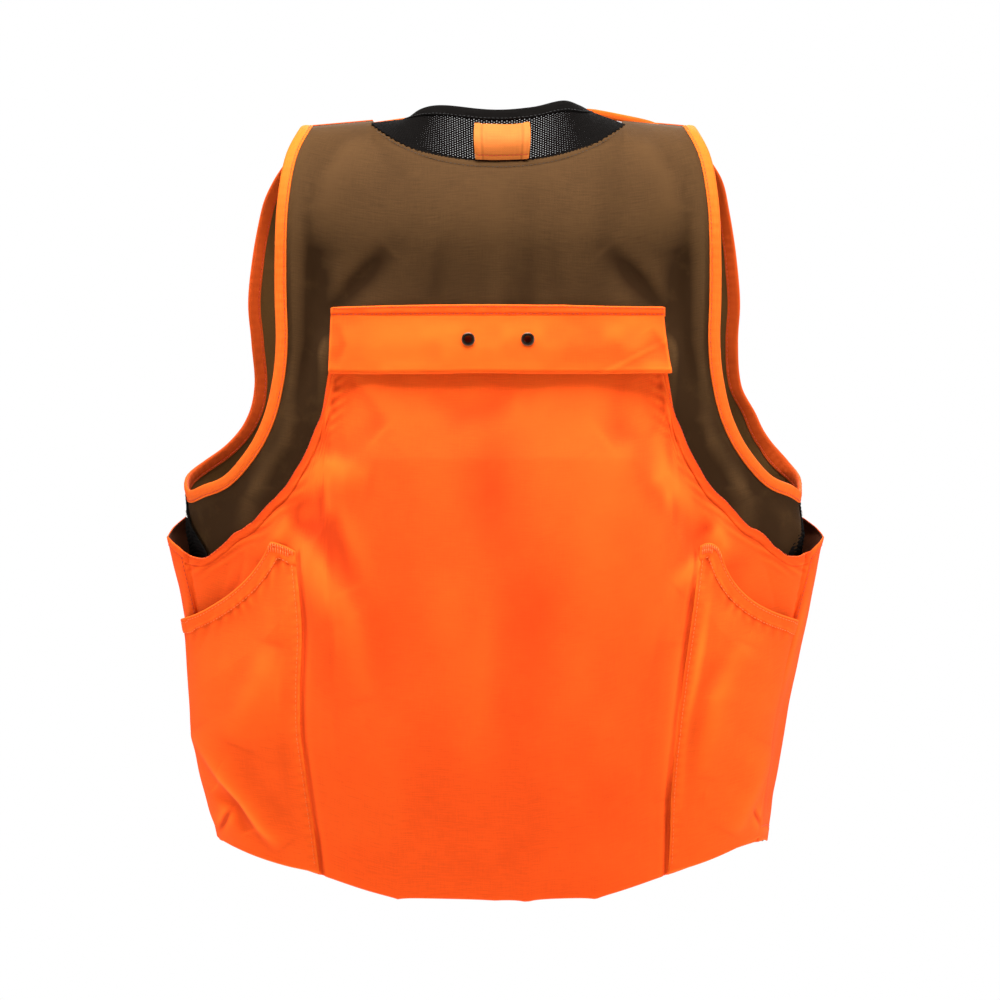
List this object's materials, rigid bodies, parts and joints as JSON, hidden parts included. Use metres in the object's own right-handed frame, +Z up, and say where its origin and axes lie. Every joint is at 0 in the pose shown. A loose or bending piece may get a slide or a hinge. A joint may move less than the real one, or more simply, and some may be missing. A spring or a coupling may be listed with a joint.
{
  "type": "upland hunting vest",
  "caption": "Blaze orange and brown upland vest with a rear game bag, its flap, patch and shell pockets, mesh collar and front zip.",
  "frame": {"origin": "the middle of the shoulder line, where the vest hangs on the shoulders", "axes": "+Z up, +Y the way the wearer faces, +X the wearer's right; the back with the game bag faces -Y"},
  "size_m": [0.5892, 0.2952, 0.7151],
  "materials": {
    "brown_cloth": "matte plain-weave cotton blend, dark brown",
    "liner": "coated dark liner",
    "orange_cloth": "fluorescent orange plain weave, matte",
    "orange_pocket_cloth": "fluorescent orange plain weave, matte",
    "orange_binding": "ribbed orange binding tape",
    "orange_webbing": "orange webbing",
    "elastic": "black pleated elastic",
    "black_mesh": "black open knit mesh",
    "black_binding": "black binding tape",
    "hook_and_loop": "black hook and loop tape",
    "antique_metal": "dark antique finish",
    "orange_zip": "orange zip tape and moulded teeth"
  },
  "bodies": {
    "back": {"back_panel": "brown_cloth", "bag_liner": "liner", "game_bag_panel": "orange_cloth", "side_pocket_left": "orange_pocket_cloth", "side_pocket_right": "orange_pocket_cloth", "pocket_bartacks": "orange_binding", "bottom_hem": "orange_cloth", "side_elastic_left": "elastic", "side_elastic_right": "elastic", "armhole_binding_back_left": "orange_binding", "armhole_binding_back_right": "orange_binding", "neck_mesh": "black_mesh", "collar_binding": "black_binding", "hang_loop": "orange_webbing", "flap_seam_band": "orange_pocket_cloth", "bag_loop_strips": "hook_and_loop"},
    "bag_flap": {"bag_flap": "orange_pocket_cloth", "flap_eyelets": "antique_metal", "flap_eyelet_washers": "antique_metal", "flap_hook_strips": "hook_and_loop"},
    "front_left": {"front_panel_left": "brown_cloth", "front_yoke_left": "orange_cloth", "armhole_binding_front_left": "orange_binding", "front_lower_panel_left": "orange_cloth", "shell_pocket_left": "orange_pocket_cloth", "pocket_snap_stud_left": "antique_metal", "zipper_tape_left": "orange_zip", "zipper_chain_left": "orange_zip", "zip_top_stops_left": "antique_metal", "zip_retaining_box": "antique_metal"},
    "front_right": {"front_panel_right": "brown_cloth", "front_yoke_right": "orange_cloth", "armhole_binding_front_right": "orange_binding", "front_lower_panel_right": "orange_cloth", "shell_pocket_right": "orange_pocket_cloth", "pocket_snap_stud_right": "antique_metal", "zipper_tape_right": "orange_zip", "zipper_chain_right": "orange_zip", "zip_top_stops_right": "antique_metal", "zip_pin_box": "antique_metal", "d_ring_tab": "orange_webbing"},
    "pocket_flap_left": {"pocket_flap_left": "orange_pocket_cloth", "pocket_snap_cap_left": "antique_metal"},
    "pocket_flap_right": {"pocket_flap_right": "orange_pocket_cloth", "pocket_snap_cap_right": "antique_metal"},
    "zip_slider": {"zip_slider": "antique_metal"},
    "zip_pull": {"zip_pull": "antique_metal"},
    "d_ring": {"d_ring": "antique_metal"}
  },
  "joints": [
    {"name": "bag_flap_lift", "type": "hinge", "parent": "back", "child": "bag_flap", "pos_m": [0, -0.1096, -0.178], "axis": [-1, 0, 0], "range_deg": [0, 130]},
    {"name": "front_left_open", "type": "hinge", "parent": "back", "child": "front_left", "pos_m": [-0.184, 0, 0], "axis": [0.2407, 0, 0.9706], "range_deg": [0, 30]},
    {"name": "front_right_open", "type": "hinge", "parent": "back", "child": "front_right", "pos_m": [0.184, 0, 0], "axis": [0.2407, 0, -0.9706], "range_deg": [0, 30]},
    {"name": "zip_slide", "type": "slide", "parent": "front_left", "child": "zip_slider", "axis": [0, 0, 1], "range_m": [0, 0.444]},
    {"name": "zip_pull_swing", "type": "hinge", "parent": "zip_slider", "child": "zip_pull", "pos_m": [-0.004, 0.1122, -0.628], "axis": [1, 0, 0], "range_deg": [0, 160]},
    {"name": "pocket_flap_left_lift", "type": "hinge", "parent": "front_left", "child": "pocket_flap_left", "pos_m": [-0.13, 0.1108, -0.438], "axis": [0.9905, 0.1374, 0], "range_deg": [0, 80]},
    {"name": "pocket_flap_right_lift", "type": "hinge", "parent": "front_right", "child": "pocket_flap_right", "pos_m": [0.13, 0.1108, -0.438], "axis": [0.9905, -0.1374, 0], "range_deg": [0, 80]},
    {"name": "d_ring_swing", "type": "hinge", "parent": "front_right", "child": "d_ring", "pos_m": [0.125, 0.10422, -0.185], "axis": [0.9877, -0.1564, 0], "range_deg": [0, 110]}
  ]
}
